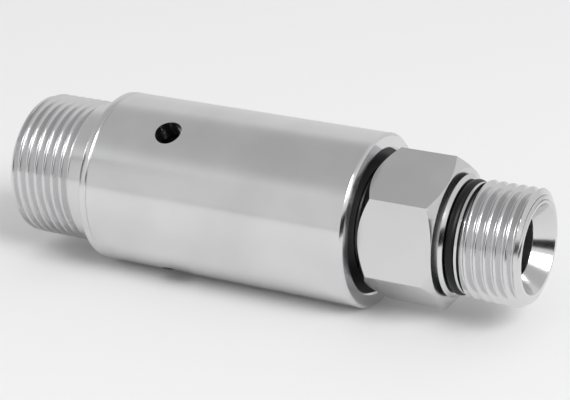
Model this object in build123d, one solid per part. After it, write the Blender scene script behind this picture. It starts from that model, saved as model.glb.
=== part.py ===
from build123d import *
from math import radians, sin, tan
import os

# Straight hydraulic rotary union. All lengths are in millimetres and all angles in degrees.
# The X axis is the axis of rotation. The origin is the centre of the inlet end face, and the
# fluid leaves at +X. Every turned piece is a half profile of (x, radius) corners, revolved about X.

# Fits and clearances
running_clearance = 0.05
loose_clearance = 0.2
edge_break = 0.3

# Flow path
shaft_bore = 12.0
inlet_bore = 14.0
cone_half_angle = 30.0

# Inlet end: a G3/4 thread, shown at its major diameter
inlet_thread_diameter = 26.441
inlet_thread_length = 13.0
inlet_thread_chamfer = 0.35
inlet_rim_width = 2.6
neck_length = 3.85
flange_thickness = 1.5
seam_chamfer = 0.22

# Outlet end: a G1/2 thread, shown at its major diameter
outlet_thread_diameter = 20.955
outlet_thread_length = 9.9
outlet_chamfer_angle = 23.0
outlet_face_width = 1.75
outlet_rim_width = 0.75
undercut_length = 0.45
undercut_depth = 1.1
land_length = 0.5
land_depth = 0.6
collar_length = 1.4
collar_depth = 1.2

# Outlet O-ring, between the collar and the outlet thread
outlet_ring_section = 1.78
outlet_ring_stand_out = 0.95

# Spanner hex
hex_across_flats = 24.0
hex_length = 13.9
hex_gap = 1.05
hex_corner_angle = 23.8
hex_face_inset = 0.15
hex_back_chamfer_angle = 45.0
hex_front_chamfer_angle = 56.0

# Shaft journal and seal collar
shaft_wall = 2.5
collar_step = 1.5
tail_chamfer = 0.6
tail_gap = 0.6

# Bearings: thin deep-groove type, 17 x 26 x 5
bearing_section = 4.5
bearing_width = 5.0
bearing_ring_gap = 1.9
ball_diameter = 2.381
ball_count = 12
pocket_clearance = 0.1
cage_thickness = 1.1
cage_width = 3.2
bearing_seal_thickness = 0.5
bearing_seal_recess = 0.15
bearing_seal_seat = 0.3
spacer_wall = 0.9

# Housing sleeve
sleeve_wall = 2.75
sleeve_length = 51.85
sleeve_end_chamfer = 0.5
spigot_length = 8.3
spigot_wall = 1.75
chamber_length = 7.5
bearing_shoulder = 0.8

# Weep holes
weep_count = 3
weep_diameter = 5.0
weep_offset = 3.5
weep_first_angle = 123.4

# Tail bush and pressure seal stack
bush_length = 6.2
bush_wall = 1.5
seal_section = 3.0
seal_width = 5.0
seal_end_gap = 0.2
seal_groove_offset = 1.5
energiser_section = 1.5
backup_ring_width = 1.5
retainer_thickness = 1.8

# Static O-ring on the stub's spigot
stub_ring_section = 1.5
stub_ring_offset = 5.6
stub_ring_groove_width = 2.0

# Retaining rings
housing_ring_thickness = 1.2
housing_ring_seat = 0.6
housing_ring_width = 2.0
housing_ring_gap = 4.0
shaft_ring_thickness = 1.0
shaft_ring_seat = 0.4
shaft_ring_width = 2.1
shaft_ring_gap = 4.4
shaft_ring_lug = 1.5
shaft_ring_lug_hole = 1.4

# Dust seal
dust_seal_width = 3.8
dust_seal_recess = 0.3
dust_seal_shell = 1.0
dust_seal_lip = 1.1
dust_spring_section = 0.8

# Radii that follow from the sizes above
bore_radius = shaft_bore / 2
journal_radius = bore_radius + shaft_wall
bearing_radius = journal_radius + bearing_section
housing_radius = bearing_radius + sleeve_wall
spigot_radius = housing_radius - spigot_wall
chamber_radius = bearing_radius - bearing_shoulder
bush_radius = journal_radius + bush_wall
seal_radius = journal_radius + seal_section
collar_radius = journal_radius + collar_step
inlet_radius = inlet_thread_diameter / 2
outlet_radius = outlet_thread_diameter / 2
pitch_radius = (journal_radius + bearing_radius) / 2
ball_radius = ball_diameter / 2
seal_bore_radius = journal_radius + running_clearance

# Stations along X that follow from the lengths above
x_flange = inlet_thread_length + neck_length
x_seam = x_flange + flange_thickness
x_spigot_end = x_seam + spigot_length
x_chamber = x_spigot_end + retainer_thickness
x_rear_bearing = x_chamber + chamber_length
x_housing_end = x_seam + sleeve_length
x_dust_seal = x_housing_end - dust_seal_recess - dust_seal_width
x_housing_ring = x_dust_seal - loose_clearance - housing_ring_thickness
x_front_bearing = x_housing_ring - bearing_width
x_backup_ring = x_spigot_end - backup_ring_width
x_pressure_seal = x_backup_ring - seal_width
x_seal_space = x_pressure_seal - seal_end_gap
x_bush = x_seal_space - bush_length
x_tail = x_bush + tail_gap
x_shaft_ring = x_rear_bearing - shaft_ring_thickness
x_hex = x_housing_end + hex_gap
x_hex_end = x_hex + hex_length
x_ring_groove = x_hex_end + collar_length
x_land = x_ring_groove + outlet_ring_section + loose_clearance / 2
x_undercut = x_land + land_length
x_outlet_thread = x_undercut + undercut_length
x_outlet_chamfer = x_outlet_thread + outlet_thread_length
x_outlet_end = x_outlet_chamfer + outlet_face_width * tan(radians(outlet_chamfer_angle))


def turned(*corners):
    """A solid of revolution about X from the (x, radius) corners of its half profile."""
    return revolve(make_face(Polyline(*corners, close=True)), Axis.X)


def tube(x_start, x_end, inner, outer, chamfer=0.0):
    """A plain ring with its outer edges broken."""
    if chamfer:
        return turned((x_start, inner), (x_start, outer - chamfer), (x_start + chamfer, outer),
                      (x_end - chamfer, outer), (x_end, outer - chamfer), (x_end, inner))
    return turned((x_start, inner), (x_start, outer), (x_end, outer), (x_end, inner))


def toroid(x, radius, section):
    """A ring of round section centred on X."""
    return revolve(Pos(x, radius) * Circle(section / 2), Axis.X)


def inlet_stub():
    """Threaded inlet, neck, flange and the spigot that screws into the sleeve, in one piece."""
    rim = inlet_radius - inlet_thread_chamfer - inlet_rim_width
    cone_depth = (rim - inlet_bore / 2) / tan(radians(cone_half_angle))
    ring_start = x_seam + stub_ring_offset
    ring_floor = spigot_radius - stub_ring_section
    body = turned(
        (0, rim), (0, inlet_radius - inlet_thread_chamfer), (inlet_thread_chamfer, inlet_radius),
        (x_flange, inlet_radius), (x_flange, housing_radius - seam_chamfer),
        (x_flange + seam_chamfer, housing_radius), (x_seam - seam_chamfer, housing_radius),
        (x_seam, housing_radius - seam_chamfer), (x_seam, spigot_radius),
        (x_spigot_end - edge_break, spigot_radius), (x_spigot_end, spigot_radius - edge_break),
        (x_spigot_end, seal_radius), (x_seal_space, seal_radius), (x_seal_space, bush_radius),
        (x_bush, bush_radius), (x_bush, inlet_bore / 2), (cone_depth, inlet_bore / 2))
    groove = tube(ring_start, ring_start + stub_ring_groove_width, ring_floor, housing_radius)
    return body - groove


def housing_sleeve():
    """The outer sleeve: spigot socket, weep chamber, bearing bore, snap ring groove and mouth."""
    sleeve = turned(
        (x_seam, spigot_radius), (x_seam, housing_radius - seam_chamfer),
        (x_seam + seam_chamfer, housing_radius),
        (x_housing_end - sleeve_end_chamfer, housing_radius),
        (x_housing_end, housing_radius - sleeve_end_chamfer),
        (x_housing_end, bearing_radius + edge_break),
        (x_housing_end - edge_break, bearing_radius),
        (x_rear_bearing, bearing_radius), (x_rear_bearing, chamber_radius),
        (x_chamber, chamber_radius), (x_chamber, spigot_radius))
    groove_end = x_housing_ring + housing_ring_thickness + loose_clearance / 2
    sleeve -= tube(x_housing_ring, groove_end, chamber_radius, bearing_radius + housing_ring_seat)
    for index in range(weep_count):
        angle = weep_first_angle + index * 360 / weep_count
        drill = Cylinder(weep_diameter / 2, housing_radius, align=(Align.CENTER, Align.CENTER, Align.MIN))
        sleeve -= Pos(x_chamber + weep_offset) * Rot(X=angle - 90) * drill
    return sleeve


def hex_head():
    """The spanner hex: a hexagonal bar chamfered at both ends."""
    corner = hex_across_flats / 2 / sin(radians(60))
    face = hex_across_flats / 2 - hex_face_inset
    back = (corner - face) / tan(radians(hex_back_chamfer_angle))
    front = (corner - face) / tan(radians(hex_front_chamfer_angle))
    flats = RegularPolygon(hex_across_flats / 2, 6, major_radius=False, rotation=hex_corner_angle)
    bar = Pos(x_hex) * extrude(Plane.YZ * flats, hex_length)
    envelope = turned((x_hex, bore_radius), (x_hex, face), (x_hex + back, corner),
                      (x_hex_end - front, corner), (x_hex_end, face), (x_hex_end, bore_radius))
    return bar & envelope


def outlet_shaft():
    """The rotor: tail, journal, seal collar, spanner hex, O-ring groove and outlet thread."""
    end_face = outlet_radius - outlet_face_width
    rim = end_face - outlet_rim_width
    cone_depth = (rim - bore_radius) / tan(radians(cone_half_angle))
    land = outlet_radius - land_depth
    undercut = outlet_radius - undercut_depth
    groove_floor = outlet_radius - collar_depth + outlet_ring_stand_out - outlet_ring_section
    shaft = turned(
        (x_tail, bore_radius), (x_tail, journal_radius - tail_chamfer),
        (x_tail + 2 * tail_chamfer, journal_radius),
        (x_front_bearing + bearing_width, journal_radius),
        (x_front_bearing + bearing_width, collar_radius), (x_hex, collar_radius),
        (x_hex_end, collar_radius), (x_hex_end, outlet_radius - collar_depth),
        (x_ring_groove, outlet_radius - collar_depth), (x_ring_groove, groove_floor),
        (x_land, groove_floor), (x_land, land), (x_undercut, land), (x_undercut, undercut),
        (x_outlet_thread, undercut), (x_outlet_thread, outlet_radius),
        (x_outlet_chamfer, outlet_radius), (x_outlet_end, end_face), (x_outlet_end, rim),
        (x_outlet_end - cone_depth, bore_radius))
    groove_start = x_shaft_ring - loose_clearance / 2
    groove = tube(groove_start, x_rear_bearing, journal_radius - shaft_ring_seat, collar_radius)
    return shaft - groove + hex_head()


def outlet_o_ring():
    """The round seal in the groove between the collar and the outlet thread."""
    groove_floor = outlet_radius - collar_depth + outlet_ring_stand_out - outlet_ring_section
    radius = groove_floor + outlet_ring_section / 2
    return toroid((x_ring_groove + x_land) / 2, radius, outlet_ring_section)


def stub_o_ring():
    """The static seal between the stub's spigot and the sleeve."""
    x = x_seam + stub_ring_offset + stub_ring_groove_width / 2
    return toroid(x, spigot_radius - stub_ring_section / 2, stub_ring_section)


def tail_bush():
    """The plain bush that guides the shaft's inner end."""
    return tube(x_bush, x_bush + bush_length - loose_clearance, seal_bore_radius, bush_radius)


def pressure_seal():
    """The U-cup, with a groove for its energiser ring open towards the pressure side."""
    middle = (seal_bore_radius + seal_radius) / 2
    x_floor = x_pressure_seal + seal_groove_offset + energiser_section / 2
    cup = tube(x_pressure_seal, x_pressure_seal + seal_width, seal_bore_radius, seal_radius)
    return cup - tube(x_pressure_seal, x_floor,
                      middle - energiser_section / 2, middle + energiser_section / 2)


def seal_energiser_ring():
    """The O-ring that spreads the U-cup's lips."""
    middle = (seal_bore_radius + seal_radius) / 2
    return toroid(x_pressure_seal + seal_groove_offset, middle, energiser_section)


def backup_ring():
    """The hard ring that backs the U-cup's heel."""
    return tube(x_backup_ring, x_spigot_end, seal_bore_radius, seal_radius)


def seal_retainer():
    """The washer clamped between the spigot and the sleeve, which closes the seal space."""
    return tube(x_spigot_end, x_chamber, journal_radius + loose_clearance,
                spigot_radius - running_clearance)


def raceway(x):
    """The round channel in which a bearing's balls run."""
    return toroid(x + bearing_width / 2, pitch_radius, ball_diameter + 2 * running_clearance)


def bearing_outer_ring(x):
    """A bearing's outer ring, with a seat for a seal at each side."""
    bore = pitch_radius + bearing_ring_gap / 2
    depth = bearing_seal_recess + bearing_seal_thickness
    ring = tube(x, x + bearing_width, bore, bearing_radius, edge_break)
    for start in (x, x + bearing_width - depth):
        ring -= tube(start, start + depth, pitch_radius, bore + bearing_seal_seat)
    return ring - raceway(x)


def bearing_inner_ring(x):
    """A bearing's inner ring."""
    ring = tube(x, x + bearing_width, journal_radius, pitch_radius - bearing_ring_gap / 2)
    return ring - raceway(x)


def bearing_seals(x):
    """The two thin seals that close a bearing's sides."""
    inner = pitch_radius - bearing_ring_gap / 2 + 2 * running_clearance
    outer = pitch_radius + bearing_ring_gap / 2 + bearing_seal_seat
    rear = x + bearing_seal_recess
    front = x + bearing_width - bearing_seal_recess - bearing_seal_thickness
    return Compound(children=[tube(start, start + bearing_seal_thickness, inner, outer)
                              for start in (rear, front)])


def bearing_cage(x):
    """The ring that keeps the balls apart, with one round pocket for each."""
    middle = x + bearing_width / 2
    cage = tube(middle - cage_width / 2, middle + cage_width / 2,
                pitch_radius - cage_thickness / 2, pitch_radius + cage_thickness / 2)
    drill = Cylinder(ball_radius + pocket_clearance, bearing_radius,
                     align=(Align.CENTER, Align.CENTER, Align.MIN))
    for index in range(ball_count):
        cage -= Pos(middle) * Rot(X=index * 360 / ball_count) * drill
    return cage


def bearing_balls(x):
    """The balls, evenly spaced on the pitch circle."""
    balls = [Pos(x + bearing_width / 2) * Rot(X=index * 360 / ball_count) * Pos(0, 0, pitch_radius)
             * Sphere(ball_radius) for index in range(ball_count)]
    return Compound(children=balls)


def bearing_outer_spacer():
    """The tube that keeps the two outer rings apart."""
    return tube(x_rear_bearing + bearing_width, x_front_bearing,
                bearing_radius - spacer_wall, bearing_radius)


def bearing_inner_spacer():
    """The tube that keeps the two inner rings apart."""
    return tube(x_rear_bearing + bearing_width, x_front_bearing,
                journal_radius, journal_radius + spacer_wall)


def bearing_retaining_ring():
    """The split ring in the sleeve's groove that holds the front bearing in."""
    outer = bearing_radius + housing_ring_seat
    ring = tube(x_housing_ring, x_housing_ring + housing_ring_thickness,
                outer - housing_ring_width, outer)
    x = x_housing_ring + housing_ring_thickness / 2
    return ring - Pos(x, 0, outer) * Box(2 * housing_ring_thickness, housing_ring_gap, 2 * outer)


def shaft_retaining_ring():
    """The split ring with two plier lugs in the shaft's groove, which holds the inner rings."""
    inner = journal_radius - shaft_ring_seat
    outer = inner + shaft_ring_width
    profile = Circle(outer)
    for side in (-1, 1):
        y = side * (shaft_ring_gap / 2 + shaft_ring_lug)
        profile += Pos(y, outer - shaft_ring_lug / 2) * Circle(shaft_ring_lug)
    for side in (-1, 1):
        y = side * (shaft_ring_gap / 2 + shaft_ring_lug)
        profile -= Pos(y, outer - shaft_ring_lug / 2) * Circle(shaft_ring_lug_hole / 2)
    profile -= Circle(inner)
    profile -= Pos(0, outer) * Rectangle(shaft_ring_gap, 2 * shaft_ring_width + 2 * shaft_ring_lug)
    return Pos(x_shaft_ring) * extrude(Plane.YZ * profile, shaft_ring_thickness)


def dust_spring_place():
    """Where the garter spring sits on the dust seal's lip, as (x, radius)."""
    lip_outer = collar_radius + running_clearance + dust_seal_lip
    return x_dust_seal + dust_seal_width / 2 - dust_seal_shell / 2, lip_outer


def dust_seal():
    """The seal in the sleeve's mouth: a pressed-in shell, an outer wall, and a lip on the shaft
    with a notch for the garter spring."""
    lip_inner = collar_radius + running_clearance
    lip_outer = lip_inner + dust_seal_lip
    x_end = x_dust_seal + dust_seal_width
    x_wall = x_end - dust_seal_shell
    shell_inner = bearing_radius - dust_seal_shell
    x_spring, _ = dust_spring_place()
    notch = dust_spring_section / 2
    return turned(
        (x_dust_seal, shell_inner), (x_dust_seal, bearing_radius), (x_end, bearing_radius),
        (x_end, lip_inner + edge_break), (x_wall, lip_inner), (x_dust_seal + edge_break, lip_inner),
        (x_dust_seal + edge_break, lip_outer), (x_spring - notch, lip_outer),
        (x_spring - notch, lip_outer - notch), (x_spring + notch, lip_outer - notch),
        (x_spring + notch, lip_outer), (x_wall, lip_outer), (x_wall, shell_inner))


def dust_seal_spring():
    """The garter spring that closes the dust seal's lip, as a plain ring."""
    return toroid(*dust_spring_place(), dust_spring_section)


pieces = {
    "inlet_stub": inlet_stub(),
    "housing_sleeve": housing_sleeve(),
    "stub_o_ring": stub_o_ring(),
    "tail_bush": tail_bush(),
    "pressure_seal": pressure_seal(),
    "seal_energiser_ring": seal_energiser_ring(),
    "backup_ring": backup_ring(),
    "seal_retainer": seal_retainer(),
    "bearing_outer_spacer": bearing_outer_spacer(),
    "bearing_inner_spacer": bearing_inner_spacer(),
    "bearing_retaining_ring": bearing_retaining_ring(),
    "shaft_retaining_ring": shaft_retaining_ring(),
    "dust_seal": dust_seal(),
    "dust_seal_spring": dust_seal_spring(),
    "outlet_shaft": outlet_shaft(),
    "outlet_o_ring": outlet_o_ring(),
}

for end, x_bearing in (("rear", x_rear_bearing), ("front", x_front_bearing)):
    pieces[f"{end}_bearing_outer_ring"] = bearing_outer_ring(x_bearing)
    pieces[f"{end}_bearing_inner_ring"] = bearing_inner_ring(x_bearing)
    pieces[f"{end}_bearing_seals"] = bearing_seals(x_bearing)
    pieces[f"{end}_bearing_cage"] = bearing_cage(x_bearing)
    pieces[f"{end}_bearing_balls"] = bearing_balls(x_bearing)

os.makedirs("parts", exist_ok=True)
for name, piece in pieces.items():
    export_step(piece, f"parts/{name}.step")
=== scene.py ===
import bpy
from math import atan2, cos, degrees, pi, radians, sin, tan
from mathutils import Matrix, Vector


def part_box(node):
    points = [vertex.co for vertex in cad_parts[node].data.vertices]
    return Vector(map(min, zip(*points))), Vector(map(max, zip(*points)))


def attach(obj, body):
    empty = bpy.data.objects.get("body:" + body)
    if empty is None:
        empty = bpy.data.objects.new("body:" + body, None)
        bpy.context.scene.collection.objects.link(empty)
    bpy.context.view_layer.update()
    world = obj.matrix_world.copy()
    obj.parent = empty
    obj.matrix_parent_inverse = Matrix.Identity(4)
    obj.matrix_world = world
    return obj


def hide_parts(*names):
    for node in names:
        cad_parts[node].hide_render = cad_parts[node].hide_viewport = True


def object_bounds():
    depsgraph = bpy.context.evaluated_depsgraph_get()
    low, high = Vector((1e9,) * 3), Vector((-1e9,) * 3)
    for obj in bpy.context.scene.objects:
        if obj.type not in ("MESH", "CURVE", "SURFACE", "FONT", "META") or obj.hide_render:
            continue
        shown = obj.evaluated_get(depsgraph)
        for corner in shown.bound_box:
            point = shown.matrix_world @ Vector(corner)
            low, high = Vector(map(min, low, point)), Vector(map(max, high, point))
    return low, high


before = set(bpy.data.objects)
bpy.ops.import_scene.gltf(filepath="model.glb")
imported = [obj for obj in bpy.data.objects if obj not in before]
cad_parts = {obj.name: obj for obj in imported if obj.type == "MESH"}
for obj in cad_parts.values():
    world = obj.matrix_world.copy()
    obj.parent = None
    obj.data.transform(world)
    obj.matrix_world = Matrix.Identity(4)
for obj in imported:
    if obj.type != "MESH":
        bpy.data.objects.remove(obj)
cad_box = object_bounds()

# Inlet stub: the threaded end that the hose fitting screws onto, turned in one piece from
# stainless bar with its neck, flange and spigot. A G3/4 thread is cut on it, 14 turns to the
# inch, and its mouth has a 60 degree cone for the hose seat.
mm = 0.001
stub_low, stub_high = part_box("inlet_stub")
sleeve_low, sleeve_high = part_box("housing_sleeve")
shaft_low, shaft_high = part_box("outlet_shaft")
x_inlet, x_seam, x_spigot = stub_low.x, sleeve_low.x, stub_high.x
housing_radius = sleeve_high.z
round_steps = 256
weld_distance = 0.001 * mm
cone_half_angle = radians(30)
thread_pitch = 1.814 * mm
thread_depth = 0.6403 * thread_pitch
thread_crest_width = 0.167 * thread_pitch
thread_base_width = 0.833 * thread_pitch
thread_foot = 0.499 * thread_pitch
thread_rounding = 0.48 * thread_crest_width
thread_steps = 192
thread_sink = 0.04 * mm
thread_edge_angle = radians(25)
cut_tolerance = 0.0001 * mm
stub_major = 26.441 / 2 * mm
stub_minor = stub_major - thread_depth
stub_thread_length = 13.0 * mm
stub_thread_start = -1.074
stub_thread_turns = 8
stub_lead_height = 0.5 * thread_depth
stub_lead_length = 0.8 * thread_depth
stub_mouth_chamfer = 0.35 * mm
stub_rim_width = 2.6 * mm
stub_bore = 7.0 * mm
stub_flange_thickness = 1.5 * mm
stub_edge_break = 0.03 * mm
seam_chamfer = 0.22 * mm
spigot_radius = 14.0 * mm
bush_low, bush_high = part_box("tail_bush")
seal_low, seal_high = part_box("pressure_seal")


def alone(piece):
    """Selects one piece and nothing else."""
    bpy.ops.object.select_all(action="DESELECT")
    piece.select_set(True)
    bpy.context.view_layer.objects.active = piece


def turn(name, start, *stations):
    """A turned form: a ring at start, (x, radius), drawn along X and resized at each station.
    The last ring meets the first, so the wall is closed."""
    bpy.ops.object.select_all(action="DESELECT")
    x, radius = start
    bpy.ops.mesh.primitive_circle_add(vertices=round_steps, radius=radius, location=(x, 0, 0),
                                      rotation=(0, pi / 2, 0))
    piece = bpy.context.object
    piece.name = name
    bpy.ops.object.transform_apply()
    bpy.ops.object.mode_set(mode="EDIT")
    bpy.ops.mesh.select_all(action="SELECT")
    for to_x, to_radius in (*stations, start):
        bpy.ops.mesh.extrude_region_move(TRANSFORM_OT_translate={"value": (to_x - x, 0, 0)})
        size = to_radius / radius
        bpy.ops.transform.resize(value=(1, size, size), center_override=(to_x, 0, 0))
        x, radius = to_x, to_radius
    bpy.ops.mesh.select_all(action="SELECT")
    bpy.ops.mesh.remove_doubles(threshold=weld_distance)
    bpy.ops.mesh.normals_make_consistent(inside=False)
    bpy.ops.object.mode_set(mode="OBJECT")
    return piece


def rod(name, *stations):
    """A solid turned form: rings at each (x, radius) station, closed by a disc at both ends."""
    bpy.ops.object.select_all(action="DESELECT")
    x, radius = stations[0]
    bpy.ops.mesh.primitive_circle_add(vertices=round_steps, radius=radius, fill_type="NGON",
                                      location=(x, 0, 0), rotation=(0, pi / 2, 0))
    piece = bpy.context.object
    piece.name = name
    bpy.ops.object.transform_apply()
    bpy.ops.object.mode_set(mode="EDIT")
    bpy.ops.mesh.select_all(action="SELECT")
    for to_x, to_radius in stations[1:]:
        bpy.ops.mesh.extrude_region_move(TRANSFORM_OT_translate={"value": (to_x - x, 0, 0)})
        size = to_radius / radius
        bpy.ops.transform.resize(value=(1, size, size), center_override=(to_x, 0, 0))
        x, radius = to_x, to_radius
    bpy.ops.mesh.select_all(action="SELECT")
    bpy.ops.mesh.normals_make_consistent(inside=False)
    bpy.ops.object.mode_set(mode="OBJECT")
    return piece


def modify(piece, kind, **settings):
    """Adds one modifier to a piece and applies it."""
    alone(piece)
    modifier = piece.modifiers.new(kind.lower(), kind)
    for key, value in settings.items():
        setattr(modifier, key, value)
    bpy.ops.object.modifier_apply(modifier=modifier.name)
    return piece


def combine(piece, other, operation):
    """Joins, cuts or trims a piece with another, which is used up."""
    modify(piece, "BOOLEAN", object=other, operation=operation, solver="EXACT")
    bpy.data.objects.remove(other)
    return piece


def pick(piece, wanted):
    """Goes into edit mode with only those vertices of a piece selected that wanted names."""
    alone(piece)
    bpy.ops.object.mode_set(mode="EDIT")
    bpy.ops.mesh.select_mode(type="VERT")
    bpy.ops.mesh.select_all(action="DESELECT")
    bpy.ops.object.mode_set(mode="OBJECT")
    for vertex in piece.data.vertices:
        vertex.select = wanted(vertex.co)
    bpy.ops.object.mode_set(mode="EDIT")


def ridge(name, x_start, minor, turns, keep, chamfer, width=0.0):
    """A thread's ridge: a 55 degree form with its crest and roots rounded, wound to the right
    about X from x_start, cut off square at both ends of keep, and turned down to the line between
    the chamfer's two (x, radius) stations. width is added to its far side, for the band that ends
    the last groove. Its feet stop just short of the next turn's, so the turns don't overlap."""
    bpy.ops.object.select_all(action="DESELECT")
    low, high = minor - thread_sink, minor + thread_depth
    bpy.ops.mesh.primitive_circle_add(vertices=8)
    wound = bpy.context.object
    wound.name = name
    half = [(thread_foot, low), (thread_foot, minor), (thread_base_width / 2, minor),
            (thread_crest_width / 2, high)]
    outline = half + [(-x, z) for x, z in reversed(half)]
    for vertex, (x, z) in zip(wound.data.vertices, outline):
        vertex.co = (x_start + x + (width if x > 0 else 0), 0, z)
    rounded = (thread_base_width / 2 + thread_foot + width) / 2
    pick(wound, lambda co: abs(co.x - x_start - width / 2) < rounded)
    bpy.ops.mesh.bevel(offset=thread_rounding, segments=4, affect="VERTICES")
    bpy.ops.object.mode_set(mode="OBJECT")
    modify(wound, "SCREW", axis="X", angle=2 * pi * turns, screw_offset=thread_pitch * turns,
           steps=round(thread_steps * turns), render_steps=round(thread_steps * turns))
    bpy.ops.object.mode_set(mode="EDIT")
    bpy.ops.mesh.select_all(action="DESELECT")
    bpy.ops.mesh.select_non_manifold()
    bpy.ops.mesh.fill_holes(sides=0)
    for x, outwards in ((keep[0], -1), (keep[1], 1)):
        bpy.ops.mesh.select_all(action="SELECT")
        bpy.ops.mesh.bisect(plane_co=(x, 0, 0), plane_no=(outwards, 0, 0), use_fill=True,
                            clear_outer=True, threshold=cut_tolerance)
    (x_low, r_low), (x_high, r_high) = chamfer
    for share in (0, 0.25, 0.5, 0.75, 1):
        bpy.ops.mesh.select_all(action="SELECT")
        bpy.ops.mesh.bisect(plane_co=(x_low + share * (x_high - x_low), 0, 0),
                            plane_no=(1, 0, 0), threshold=cut_tolerance)
    bpy.ops.mesh.select_all(action="SELECT")
    bpy.ops.mesh.normals_make_consistent(inside=False)
    bpy.ops.object.mode_set(mode="OBJECT")
    for vertex in wound.data.vertices:
        share = (vertex.co.x - x_low) / (x_high - x_low)
        limit = max(r_low + (r_high - r_low) * min(max(share, 0), 1), low)
        vertex.co.yz *= min(limit / vertex.co.yz.length, 1)
    bpy.ops.object.shade_smooth_by_angle(angle=thread_edge_angle)
    return modify(wound, "WEIGHTED_NORMAL", keep_sharp=True)


def join(piece, *others):
    """Makes several shells one piece, which keeps the first one's name."""
    alone(piece)
    for other in others:
        other.select_set(True)
    bpy.ops.object.join()
    return piece


def soften(piece, width, angle=20, material=-1):
    """Breaks a piece's sharp edges, and smooths its shading over all that is not an edge."""
    modify(piece, "BEVEL", width=width, segments=2, limit_method="ANGLE",
           angle_limit=radians(angle), material=material)
    bpy.ops.object.shade_smooth_by_angle(angle=radians(angle))
    return modify(piece, "WEIGHTED_NORMAL", keep_sharp=True)


rim = stub_major - stub_mouth_chamfer - stub_rim_width
cone_depth = (rim - stub_bore) / tan(cone_half_angle)
x_flange = x_seam - stub_flange_thickness
x_neck = x_inlet + stub_thread_length
stub_core = stub_minor - thread_sink / 2
stub = turn("inlet_stub_turned", (x_inlet, rim), (x_inlet, stub_core), (x_neck, stub_core),
            (x_neck, stub_major), (x_flange, stub_major), (x_flange, housing_radius - seam_chamfer),
            (x_flange + seam_chamfer, housing_radius), (x_seam - seam_chamfer, housing_radius),
            (x_seam, housing_radius - seam_chamfer), (x_seam, spigot_radius),
            (x_spigot, spigot_radius), (x_spigot, seal_high.z),
            (seal_low.x, seal_high.z), (seal_low.x, bush_high.z), (bush_low.x, bush_high.z),
            (bush_low.x, stub_bore), (x_inlet + cone_depth, stub_bore))
soften(stub, stub_edge_break)
mouth = ((x_inlet, stub_minor + stub_lead_height), (x_inlet + stub_lead_length, stub_major))
stub_thread = ridge("stub_thread", x_inlet + stub_thread_start * thread_pitch, stub_minor,
                    stub_thread_turns, (x_inlet, x_neck), mouth)
stub_last = ridge("stub_last_groove",
                  x_inlet + (stub_thread_start + stub_thread_turns) * thread_pitch,
                  stub_minor, 1, (x_inlet, x_flange), mouth, width=thread_pitch)
join(stub, stub_thread, stub_last)


def linear(code):
    """An sRGB hex colour as linear red, green, blue and alpha."""
    parts = [int(code[i:i + 2], 16) / 255 for i in (1, 3, 5)]
    return (*[c / 12.92 if c <= 0.04045 else ((c + 0.055) / 1.055) ** 2.4 for c in parts], 1.0)


def add_node(material, kind, links=None, **settings):
    """Adds a node to a material. settings are its properties, or its inputs by name with
    underscores for spaces, and links gives the output that feeds each input."""
    node = material.node_tree.nodes.new(kind)
    for key, value in settings.items():
        if hasattr(node, key):
            setattr(node, key, value)
        else:
            node.inputs[key.replace("_", " ")].default_value = value
    for key, output in (links or {}).items():
        material.node_tree.links.new(output, node.inputs[key])
    return node


def new_material(name, **surface):
    """A material with one Principled shader, whose inputs surface sets. Returns both."""
    material = bpy.data.materials.new(name)
    material.use_nodes = True
    shader = material.node_tree.nodes["Principled BSDF"]
    for key, value in surface.items():
        shader.inputs[key.replace("_", " ")].default_value = value
    return material, shader


cloud_size = 14 * mm
relief_height = 0.02 * mm


def metal(name, dark, light, rough, lines, depth, **surface):
    """A metal with faint cloudy patches between two tones and two roughnesses, and the fine lines
    of the tool, whose spacing along X, Y and Z is in lines. depth is the share of the relief's
    height that shows. Returns the material with its shader."""
    material, shader = new_material(name, Metallic=1.0, **surface)
    place = add_node(material, "ShaderNodeTexCoord").outputs["Object"]
    cloud = add_node(material, "ShaderNodeTexNoise", {"Vector": place}, Scale=1 / cloud_size,
                     Detail=3.0, Roughness=0.5)
    tone = add_node(material, "ShaderNodeValToRGB", {"Fac": cloud.outputs["Fac"]})
    tone.color_ramp.elements[0].position, tone.color_ramp.elements[1].position = 0.3, 0.7
    tone.color_ramp.elements[0].color = linear(dark)
    tone.color_ramp.elements[1].color = linear(light)
    shine = add_node(material, "ShaderNodeMapRange", {"Value": cloud.outputs["Fac"]},
                     From_Min=0.3, From_Max=0.7, To_Min=rough[0], To_Max=rough[1])
    stretch = add_node(material, "ShaderNodeMapping", {"Vector": place})
    stretch.inputs["Scale"].default_value = [1 / spacing for spacing in lines]
    grain = add_node(material, "ShaderNodeTexNoise", {"Vector": stretch.outputs["Vector"]},
                     Scale=1.0, Detail=2.0)
    relief = add_node(material, "ShaderNodeBump", {"Height": grain.outputs["Fac"]},
                      Strength=depth, Distance=relief_height)
    for key, output in (("Base Color", tone.outputs["Color"]),
                        ("Roughness", shine.outputs["Result"]),
                        ("Normal", relief.outputs["Normal"])):
        material.node_tree.links.new(output, shader.inputs[key])
    return material, shader


# Turned and polished stainless steel, grade 303. The tool leaves fine rings round the axis, here
# 0.09 mm apart, which draw a highlight out along the piece, and handling leaves cloudy patches.
rings = (0.09 * mm, 33 * mm, 33 * mm)
turned_stainless, shader = metal("turned_stainless_steel", "#d6d6d7", "#e2e2e3", (0.15, 0.2), rings,
                                 0.05, Anisotropic=0.5, Anisotropic_Rotation=0.25)
around = add_node(turned_stainless, "ShaderNodeTangent", direction_type="RADIAL", axis="X")
turned_stainless.node_tree.links.new(around.outputs["Tangent"], shader.inputs["Tangent"])
stub.data.materials.append(turned_stainless)
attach(stub, "housing")
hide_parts("inlet_stub")


def dress(material, *nodes):
    """Gives the pieces that keep the frame's own mesh their finish."""
    for node in nodes:
        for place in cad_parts[node].material_slots:
            place.material = material


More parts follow.
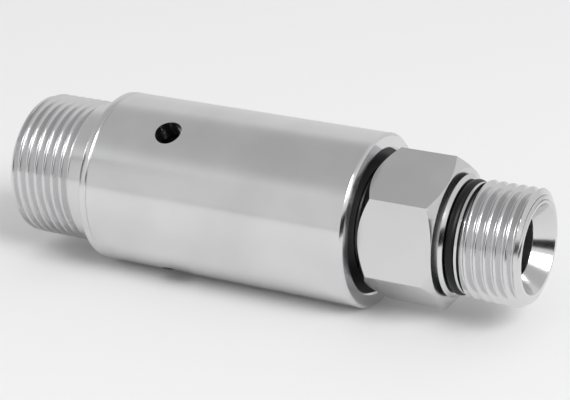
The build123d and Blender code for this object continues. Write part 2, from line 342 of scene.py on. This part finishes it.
# Tail bush: a plain bush of sintered bronze, pressed into the stub, that steadies the shaft's
# tail. Sintered bronze is a dull brown gold, with open pores about 0.1 mm across.
bronze, shader = metal("sintered_bronze", "#9c7440", "#bd9155", (0.34, 0.5),
                       (0.1 * mm, 0.1 * mm, 0.1 * mm), 0.35)
dress(bronze, "tail_bush")


mottle_size = 3 * mm


def moulded(name, dark, light, rough, grain, depth, **surface):
    """A moulded or machined polymer: mottled between two tones, with a fine grain whose spacing
    is in grain, and of which depth is the share that shows."""
    material, shader = new_material(name, Roughness=rough, **surface)
    place = add_node(material, "ShaderNodeTexCoord").outputs["Object"]
    mottle = add_node(material, "ShaderNodeTexNoise", {"Vector": place}, Scale=1 / mottle_size,
                      Detail=4.0)
    tone = add_node(material, "ShaderNodeValToRGB", {"Fac": mottle.outputs["Fac"]})
    tone.color_ramp.elements[0].color = linear(dark)
    tone.color_ramp.elements[1].color = linear(light)
    texture = add_node(material, "ShaderNodeTexNoise", {"Vector": place}, Scale=1 / grain,
                       Detail=3.0)
    relief = add_node(material, "ShaderNodeBump", {"Height": texture.outputs["Fac"]},
                      Strength=depth, Distance=relief_height)
    material.node_tree.links.new(tone.outputs["Color"], shader.inputs["Base Color"])
    material.node_tree.links.new(relief.outputs["Normal"], shader.inputs["Normal"])
    return material


# Pressure seal: a machined lip seal of filled PTFE, waxy and off white, with a nitrile ring
# behind its lip that presses it onto the shaft, and a harder ring behind it that backs it up.
filled_ptfe = moulded("machined_filled_ptfe", "#d2cdbc", "#e4e0d2", 0.42, 0.12 * mm, 0.15,
                      IOR=1.38)
dress(filled_ptfe, "pressure_seal", "backup_ring")
# The nitrile rubber is moulded: black, with a soft satin shine and a faint fine texture.
rubber = moulded("moulded_nitrile_rubber", "#070708", "#0e0e0f", 0.4, 0.3 * mm, 0.1, IOR=1.5,
                 Specular_IOR_Level=0.3)
dress(rubber, "seal_energiser_ring")

# Seal retainer: a plain turned steel washer that the sleeve clamps over the seal. The tool's
# rings stand out on it, because it isn't polished.
turned_steel, shader = metal("turned_steel", "#b4b4b6", "#c6c6c8", (0.28, 0.36), rings, 0.12)
dress(turned_steel, "seal_retainer")

# Stub O-ring: the nitrile ring that seals the spigot inside the sleeve. It is moulded from the
# same black rubber as the other rings.
dress(rubber, "stub_o_ring")

# Housing sleeve: a turned and polished stainless tube screwed over the stub's spigot. It carries
# the bearings, and three 5 mm weep holes are drilled through it behind the pressure seal.
sleeve_end_chamfer = 0.5 * mm
sleeve_bore_chamfer = 0.3 * mm
sleeve_edge_break = 0.04 * mm
chamber_radius = 12.2 * mm
bearing_radius = 13.0 * mm
weep_count = 3
weep_radius = 2.5 * mm
weep_margin = 0.3 * mm
weep_drill_length = 10 * mm
weep_from_retainer = 3.5 * mm
weep_first_angle = 123.4
ring_play = 0.1 * mm
x_end = sleeve_high.x
x_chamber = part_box("seal_retainer")[1].x
x_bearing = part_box("rear_bearing_outer_ring")[0].x
ring_low, ring_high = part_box("bearing_retaining_ring")
x_ring_end = ring_high.x + ring_play
ring_seat = ring_high.y
x_weep = x_chamber + weep_from_retainer
sleeve = turn("housing_sleeve_turned", (x_seam, spigot_radius),
              (x_seam, housing_radius - seam_chamfer), (x_seam + seam_chamfer, housing_radius),
              (x_weep - weep_radius - weep_margin, housing_radius),
              (x_weep + weep_radius + weep_margin, housing_radius),
              (x_end - sleeve_end_chamfer, housing_radius),
              (x_end, housing_radius - sleeve_end_chamfer),
              (x_end, bearing_radius + sleeve_bore_chamfer),
              (x_end - sleeve_bore_chamfer, bearing_radius), (x_ring_end, bearing_radius),
              (x_ring_end, ring_seat), (ring_low.x, ring_seat), (ring_low.x, bearing_radius),
              (x_bearing, bearing_radius), (x_bearing, chamber_radius),
              (x_chamber, chamber_radius), (x_chamber, spigot_radius))
for index in range(weep_count):
    angle = radians(weep_first_angle + 360 / weep_count * index)
    bpy.ops.object.select_all(action="DESELECT")
    reach = Vector((x_weep, housing_radius * cos(angle), housing_radius * sin(angle)))
    bpy.ops.mesh.primitive_cylinder_add(vertices=64, radius=weep_radius,
                                        depth=weep_drill_length, location=reach,
                                        rotation=(angle - pi / 2, 0, 0))
    combine(sleeve, bpy.context.object, "DIFFERENCE")
soften(sleeve, sleeve_edge_break)
sleeve.data.materials.append(turned_stainless)
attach(sleeve, "housing")
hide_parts("housing_sleeve")

# Bearings: two sealed deep groove ball bearings of ground and polished bearing steel. Each has
# twelve balls in a cage of brown polymer, and thin nitrile seals pressed in on both sides.
bearing_steel, shader = metal("ground_bearing_steel", "#cfcfd3", "#dcdce0", (0.1, 0.15), rings,
                              0.03)
cage_polymer = moulded("moulded_cage_polymer", "#82633c", "#94724a", 0.45, 0.2 * mm, 0.12)
for bearing in ("rear_bearing", "front_bearing"):
    dress(bearing_steel, bearing + "_outer_ring", bearing + "_inner_ring", bearing + "_balls")
    dress(cage_polymer, bearing + "_cage")
    dress(rubber, bearing + "_seals")

# Spacers: two turned steel tubes that keep the bearings apart, one between the outer rings and
# one between the inner rings.
dress(turned_steel, "bearing_outer_spacer", "bearing_inner_spacer")

# Snap rings: spring steel, stamped and phosphated a dull dark grey. One holds the front bearing
# in the sleeve, and the other holds the rear bearing on the shaft.
phosphated, shader = metal("phosphated_spring_steel", "#5b5b5f", "#6c6c70", (0.38, 0.48),
                           (0.15 * mm, 0.15 * mm, 0.15 * mm), 0.2)
dress(phosphated, "bearing_retaining_ring", "shaft_retaining_ring")

# Dust seal: a nitrile ring in the sleeve's mouth, whose lip a coiled garter spring pulls onto
# the shaft.
dress(rubber, "dust_seal")
spring_steel, shader = metal("drawn_spring_steel", "#8d8d91", "#a2a2a6", (0.22, 0.3), rings, 0.08)
dress(spring_steel, "dust_seal_spring")

# Outlet shaft: the rotor, turned in one piece from 24 mm hexagon bar. Behind the hex is the
# journal, and before it a collar, the O-ring's groove and a G1/2 thread with a 60 degree cone.
hex_flats = 24.0 * mm
hex_length = 13.9 * mm
hex_gap = 1.05 * mm
hex_corner_angle = 23.8
hex_chamfer_angle = 56
hex_face_inset = 0.15 * mm
hex_edge_break = 0.22 * mm
hex_overlap = 1 * mm
shaft_bore = 6.0 * mm
shaft_edge_break = 0.03 * mm
tail_lead_length = 1.2 * mm
tail_lead_drop = 0.6 * mm
journal_radius = 8.5 * mm
snap_groove_depth = 0.4 * mm
rear_collar_radius = 10.0 * mm
collar_gap_width = 0.79 * mm
collar_reach = 1.4 * mm
collar_back = 10.92 * mm
o_ring_play = 0.05 * mm
land_width = 0.5 * mm
undercut_width = 0.45 * mm
shaft_major = 20.955 / 2 * mm
shaft_minor = shaft_major - thread_depth
shaft_thread_length = 9.9 * mm
shaft_thread_start = -0.57
shaft_thread_turns = 7
end_chamfer_angle = 23
end_chamfer_drop = 1.75 * mm
end_rim_width = 0.75 * mm
end_face = shaft_major - end_chamfer_drop
end_rim = end_face - end_rim_width
gap_floor = shaft_major - 1.2 * mm
land_radius = shaft_major - 0.6 * mm
undercut_floor = shaft_minor - 0.5 * mm
same_face = 0.01 * mm
x_tail, x_outlet = shaft_low.x, shaft_high.x
x_hex = x_end + hex_gap
x_hex_end = x_hex + hex_length
x_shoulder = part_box("front_bearing_inner_ring")[1].x
o_ring_low, o_ring_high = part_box("outlet_o_ring")
o_ring_section = o_ring_high.x - o_ring_low.x
groove_floor = o_ring_high.z - o_ring_section
x_groove = x_hex_end + collar_reach
x_collar = x_hex_end + collar_gap_width
collar_front = collar_back - (x_groove - x_collar)
x_land = o_ring_high.x + o_ring_play
x_undercut = x_land + land_width
x_thread = x_undercut + undercut_width
x_thread_end = x_thread + shaft_thread_length
x_thread_out = x_thread_end + thread_depth * tan(radians(end_chamfer_angle))
outlet_cone = (end_rim - shaft_bore) / tan(cone_half_angle)
snap_low, snap_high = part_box("shaft_retaining_ring")
x_snap = snap_low.x - ring_play
snap_floor = journal_radius - snap_groove_depth
shaft_core = shaft_minor - thread_sink / 2
shaft = turn("outlet_shaft_turned", (x_tail, shaft_bore),
             (x_tail, journal_radius - tail_lead_drop), (x_tail + tail_lead_length, journal_radius),
             (x_snap, journal_radius), (x_snap, snap_floor), (snap_high.x, snap_floor),
             (snap_high.x, journal_radius), (x_shoulder, journal_radius),
             (x_shoulder, rear_collar_radius), (x_hex + hex_overlap, rear_collar_radius),
             (x_hex + hex_overlap, gap_floor), (x_collar, gap_floor), (x_collar, collar_back),
             (x_groove, collar_front), (x_groove, groove_floor), (x_land, groove_floor),
             (x_land, land_radius), (x_undercut, land_radius), (x_undercut, undercut_floor),
             (x_thread, undercut_floor), (x_thread, shaft_core), (x_thread_out, shaft_core),
             (x_outlet, end_face), (x_outlet, end_rim), (x_outlet - outlet_cone, shaft_bore))
soften(shaft, shaft_edge_break)
shaft_thread = ridge("shaft_thread", x_thread + shaft_thread_start * thread_pitch, shaft_minor,
                     shaft_thread_turns, (x_thread, x_thread_out),
                     ((x_thread_end, shaft_major), (x_outlet, end_face)))
corner = hex_flats / 2 / sin(radians(60))
hex_face = hex_flats / 2 - hex_face_inset
bpy.ops.object.select_all(action="DESELECT")
bpy.ops.mesh.primitive_cylinder_add(vertices=6, radius=corner, depth=hex_length,
                                    location=((x_hex + x_hex_end) / 2, 0, 0),
                                    rotation=(0, pi / 2, 0))
hexagon = bpy.context.object
bpy.ops.object.transform_apply()
hexagon.name = "spanner_hex"
bpy.ops.object.mode_set(mode="EDIT")
bpy.ops.mesh.select_all(action="SELECT")
bpy.ops.transform.rotate(value=-radians(hex_corner_angle), orient_axis="X",
                         center_override=(0, 0, 0))
bpy.ops.object.mode_set(mode="OBJECT")
chamfers = rod("hex_chamfers", (x_hex, hex_face), (x_hex + corner - hex_face, corner),
               (x_hex_end - (corner - hex_face) / tan(radians(hex_chamfer_angle)), corner),
               (x_hex_end, hex_face))
combine(hexagon, chamfers, "INTERSECT")
core = rod("hex_core", (x_hex - hex_overlap, shaft_bore + hex_overlap),
           (x_hex_end + hex_overlap, shaft_bore + hex_overlap))
combine(hexagon, core, "DIFFERENCE")
# The flats keep the bar's drawn and polished surface, which is even, with faint lines along X.
# The edges between them get a lighter steel colour: a painted highlight, a bright line along each
# edge.
drawn_stainless, shader = metal("drawn_stainless_bar", "#d4d4d5", "#dfdfe0", (0.2, 0.26),
                                (33 * mm, 0.2 * mm, 0.2 * mm), 0.03)
hex_edge_painted_highlight, shader = metal("stainless_edge_painted_highlight", "#f0f0f1", "#f6f6f7", (0.25, 0.3),
                          (33 * mm, 0.2 * mm, 0.2 * mm), 0.03)
hexagon.data.materials.append(drawn_stainless)
hexagon.data.materials.append(hex_edge_painted_highlight)
# The bevels on the hex's edges take the lighter steel, which is the painted highlight.
soften(hexagon, hex_edge_break, material=1)
for piece in (shaft, shaft_thread):
    piece.data.materials.append(turned_stainless)
# The two narrow gaps, behind the collar and before the thread, are painted near black inside:
# painted shade. The hex's face stays bright, and mirrors the first of them.
gap_painted_shade, shader = metal("steel_gap_painted_shade", "#050505", "#0b0b0c", (0.4, 0.5), rings,
                          0.05, Specular_IOR_Level=0.2)
shaft.data.materials.append(gap_painted_shade)
# The faces in the gap behind the collar, and the undercut's wall that faces the outlet, get the
# near-black painted shade.
for face in shaft.data.polygons:
    x, radius = face.center.x, face.center.yz.length
    behind_collar = x_hex_end < x < x_collar + same_face and radius > gap_floor - same_face
    faces_outlet = face.normal.x > 0.99
    if behind_collar or (faces_outlet and abs(x - x_undercut) < same_face):
        face.material_index = 1
join(shaft, shaft_thread, hexagon)
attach(shaft, "shaft")
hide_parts("outlet_shaft")

# Outlet O-ring: a moulded nitrile ring that seals against the mouth of the port. It sits in the
# groove between the collar and the thread.
bpy.ops.object.select_all(action="DESELECT")
bpy.ops.mesh.primitive_torus_add(major_radius=o_ring_high.z - o_ring_section / 2,
                                 minor_radius=o_ring_section / 2, major_segments=192,
                                 minor_segments=24, rotation=(0, pi / 2, 0),
                                 location=((o_ring_low.x + o_ring_high.x) / 2, 0, 0))
o_ring = bpy.context.object
o_ring.name = "outlet_o_ring_moulded"
bpy.ops.object.transform_apply()
bpy.ops.object.shade_smooth()
o_ring.data.materials.append(rubber)
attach(o_ring, "shaft")
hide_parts("outlet_o_ring")

# Studio: a pale floor under the object, a pale room and one soft lamp on the right. Polished
# steel shows only what stands round it, so low dark cards give it something dark to mirror.
floor_level = sleeve_low.z
middle = (cad_box[0] + cad_box[1]) / 2
bpy.ops.object.select_all(action="DESELECT")
bpy.ops.mesh.primitive_plane_add(size=6, location=(0, 0, floor_level))
floor = bpy.context.object
floor.name = "floor"
floor_paint, shader = new_material("pale_floor", Base_Color=linear("#f6f6f6"), Roughness=0.9)
shader.inputs["Specular IOR Level"].default_value = 0.0
floor.data.materials.append(floor_paint)

# The room's walls are pale, and its ceiling is dimmer.
world = bpy.context.scene.world or bpy.data.worlds.new("studio")
bpy.context.scene.world = world
world.use_nodes = True
room = world.node_tree.nodes["Background"]
direction = add_node(world, "ShaderNodeTexCoord").outputs["Generated"]
height = add_node(world, "ShaderNodeSeparateXYZ", {"Vector": direction}).outputs["Z"]
walls = add_node(world, "ShaderNodeValToRGB", {"Fac": height})
for spot, level in ((0.0, 0.7), (0.1, 0.75), (0.6, 0.75), (0.76, 0.53)):
    stop = walls.color_ramp.elements.new(spot)
    stop.color = (level, level, level, 1)
walls.color_ramp.elements.remove(walls.color_ramp.elements[0])
walls.color_ramp.elements[-1].color = (0.5, 0.5, 0.5, 1)
world.node_tree.links.new(walls.outputs["Color"], room.inputs["Color"])


def card(name, centre, distance, height, bearings, colour):
    """A curved card that stands on the floor round centre, between two bearings in degrees from
    +X. Only reflections show it: it takes no light from the object and casts no shadow."""
    bpy.ops.object.select_all(action="DESELECT")
    bpy.ops.mesh.primitive_circle_add(vertices=180, radius=distance,
                                      location=(centre, 0, floor_level))
    wall = bpy.context.object
    wall.name = name
    bpy.ops.object.transform_apply()
    bpy.ops.object.mode_set(mode="EDIT")
    bpy.ops.mesh.select_all(action="SELECT")
    bpy.ops.mesh.extrude_region_move(TRANSFORM_OT_translate={"value": (0, 0, height)})
    bpy.ops.object.mode_set(mode="OBJECT")
    pick(wall, lambda co: not bearings[0] <= degrees(atan2(co.y, co.x - centre)) <= bearings[1])
    bpy.ops.mesh.delete(type="VERT")
    bpy.ops.object.mode_set(mode="OBJECT")
    paper, shader = new_material(name, Base_Color=linear(colour), Roughness=0.9)
    shader.inputs["Specular IOR Level"].default_value = 0.0
    wall.data.materials.append(paper)
    wall.visible_camera = wall.visible_diffuse = wall.visible_shadow = False


black_paper = "#101010"
card("dark_card_left", middle.x, 0.6, 0.35, (-178, -131), black_paper)
card("dark_card_front_right", x_outlet, 0.09, 0.035, (-65, -10), black_paper)
card("dark_card_far_right", x_outlet, 0.6, 0.13, (-65, -10), black_paper)
card("dark_card_right", x_outlet, 0.07, 0.0109, (-12, 70), black_paper)


def softbox(name, place, aim, width, height, power):
    """An area lamp at place, turned to aim."""
    light = bpy.data.lights.new(name, "AREA")
    light.shape, light.size, light.size_y, light.energy = "RECTANGLE", width, height, power
    lamp = bpy.data.objects.new(name, light)
    bpy.context.scene.collection.objects.link(lamp)
    lamp.location = place
    lamp.rotation_euler = (Vector(aim) - Vector(place)).to_track_quat("-Z", "Y").to_euler()
    return lamp


softbox("softbox_right", middle + Vector((1.2, -0.67, 1.07)), middle, 0.93, 0.67, 18)

# Camera: a long lens, in front and a little above. It looks at the point aim_x along the axis,
# then moves aside by the two shifts. All four lengths are in millimetres.
azimuth, elevation = radians(27.94), radians(19.70)
aim_x, shift_right, shift_down, distance = 43.77, 6.418, 0.4645, 386.63
right = Vector((cos(azimuth), sin(azimuth), 0))
back = Vector((sin(azimuth) * cos(elevation), -cos(azimuth) * cos(elevation), sin(elevation)))
up = back.cross(right)
shift = right * shift_right - up * shift_down + back * distance
eye = Vector((aim_x, 0, 0)) * mm + shift * mm
camera = bpy.data.objects.new("camera", bpy.data.cameras.new("camera"))
camera.data.lens, camera.data.sensor_width = 134.07, 36
camera.data.clip_start, camera.data.clip_end = 0.01, 20
camera.matrix_world = Matrix.Translation(eye) @ Matrix((right, up, back)).transposed().to_4x4()
bpy.context.scene.collection.objects.link(camera)
bpy.context.scene.camera = camera
bpy.context.scene.view_settings.view_transform = "Standard"
